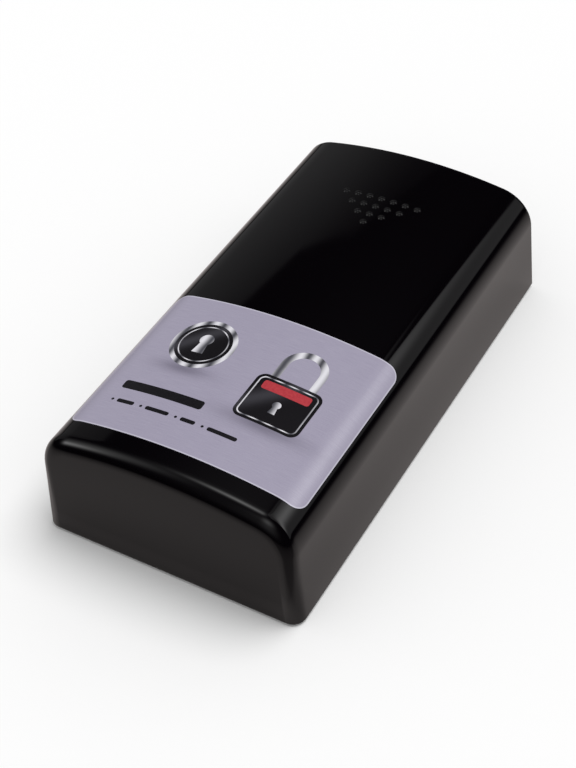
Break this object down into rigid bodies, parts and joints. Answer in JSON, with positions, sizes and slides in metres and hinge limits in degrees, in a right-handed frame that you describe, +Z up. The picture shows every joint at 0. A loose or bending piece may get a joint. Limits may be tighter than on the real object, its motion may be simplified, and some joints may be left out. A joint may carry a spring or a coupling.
{
  "type": "magnetic key holder box",
  "caption": "Black moulded key box with a crowned sliding cover, a shallow key tray that closes its mouth, and block magnets riveted under the tray to grip steel.",
  "frame": {"origin": "bottom centre of the bounding box, on the plane of the magnet faces, which is the surface the box grips or lies on", "axes": "+Z up, away from the gripped surface; +Y along the box towards the cover's open mouth; +X across the box"},
  "size_m": [0.0616, 0.114, 0.029],
  "materials": {
    "cover_plastic": "moulded ABS, polished gloss black",
    "label_film": "self-adhesive film, brushed silver",
    "tray_plastic": "moulded polypropylene, fine matt black",
    "foam": "closed-cell foam sheet, charcoal",
    "ferrite": "ground hard ferrite, dull dark grey",
    "zinc_steel": "bright zinc plate",
    "rivet_brass": "drawn brass, bright"
  },
  "bodies": {
    "tray": {"tray": "tray_plastic", "foam_pad": "foam", "magnet_near": "ferrite", "magnet_far": "ferrite", "backing_plate_near": "zinc_steel", "backing_plate_far": "zinc_steel", "rivet_near": "rivet_brass", "rivet_far": "rivet_brass"},
    "cover": {"cover": "cover_plastic", "label": "label_film"}
  },
  "joints": [
    {"name": "cover_slide", "type": "slide", "parent": "tray", "child": "cover", "axis": [0, -1, 0], "range_m": [0, 0.114]}
  ]
}
